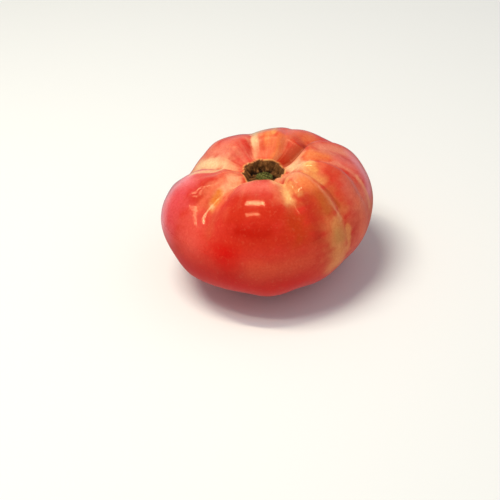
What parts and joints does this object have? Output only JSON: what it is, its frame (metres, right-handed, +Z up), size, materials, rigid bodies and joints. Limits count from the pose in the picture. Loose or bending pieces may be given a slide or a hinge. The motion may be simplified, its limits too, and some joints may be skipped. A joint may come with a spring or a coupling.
{
  "type": "rosa de barbastro tomato",
  "caption": "Broad, low, deeply ribbed pink beefsteak tomato, whole, with a sunken corky stem scar, standing on its blossom end.",
  "frame": {"origin": "under the middle of the fruit, on the surface that it rests on", "axes": "+Z up along the core, from the blossom end to the stem end; +X along the fruit's widest direction; -Y is the side that faced the camera"},
  "size_m": [0.1148, 0.1112, 0.0696],
  "materials": {
    "tomato_skin": "waxy, softly glossy"
  },
  "bodies": {
    "root": {"tomato": "tomato_skin"}
  },
  "joints": []
}
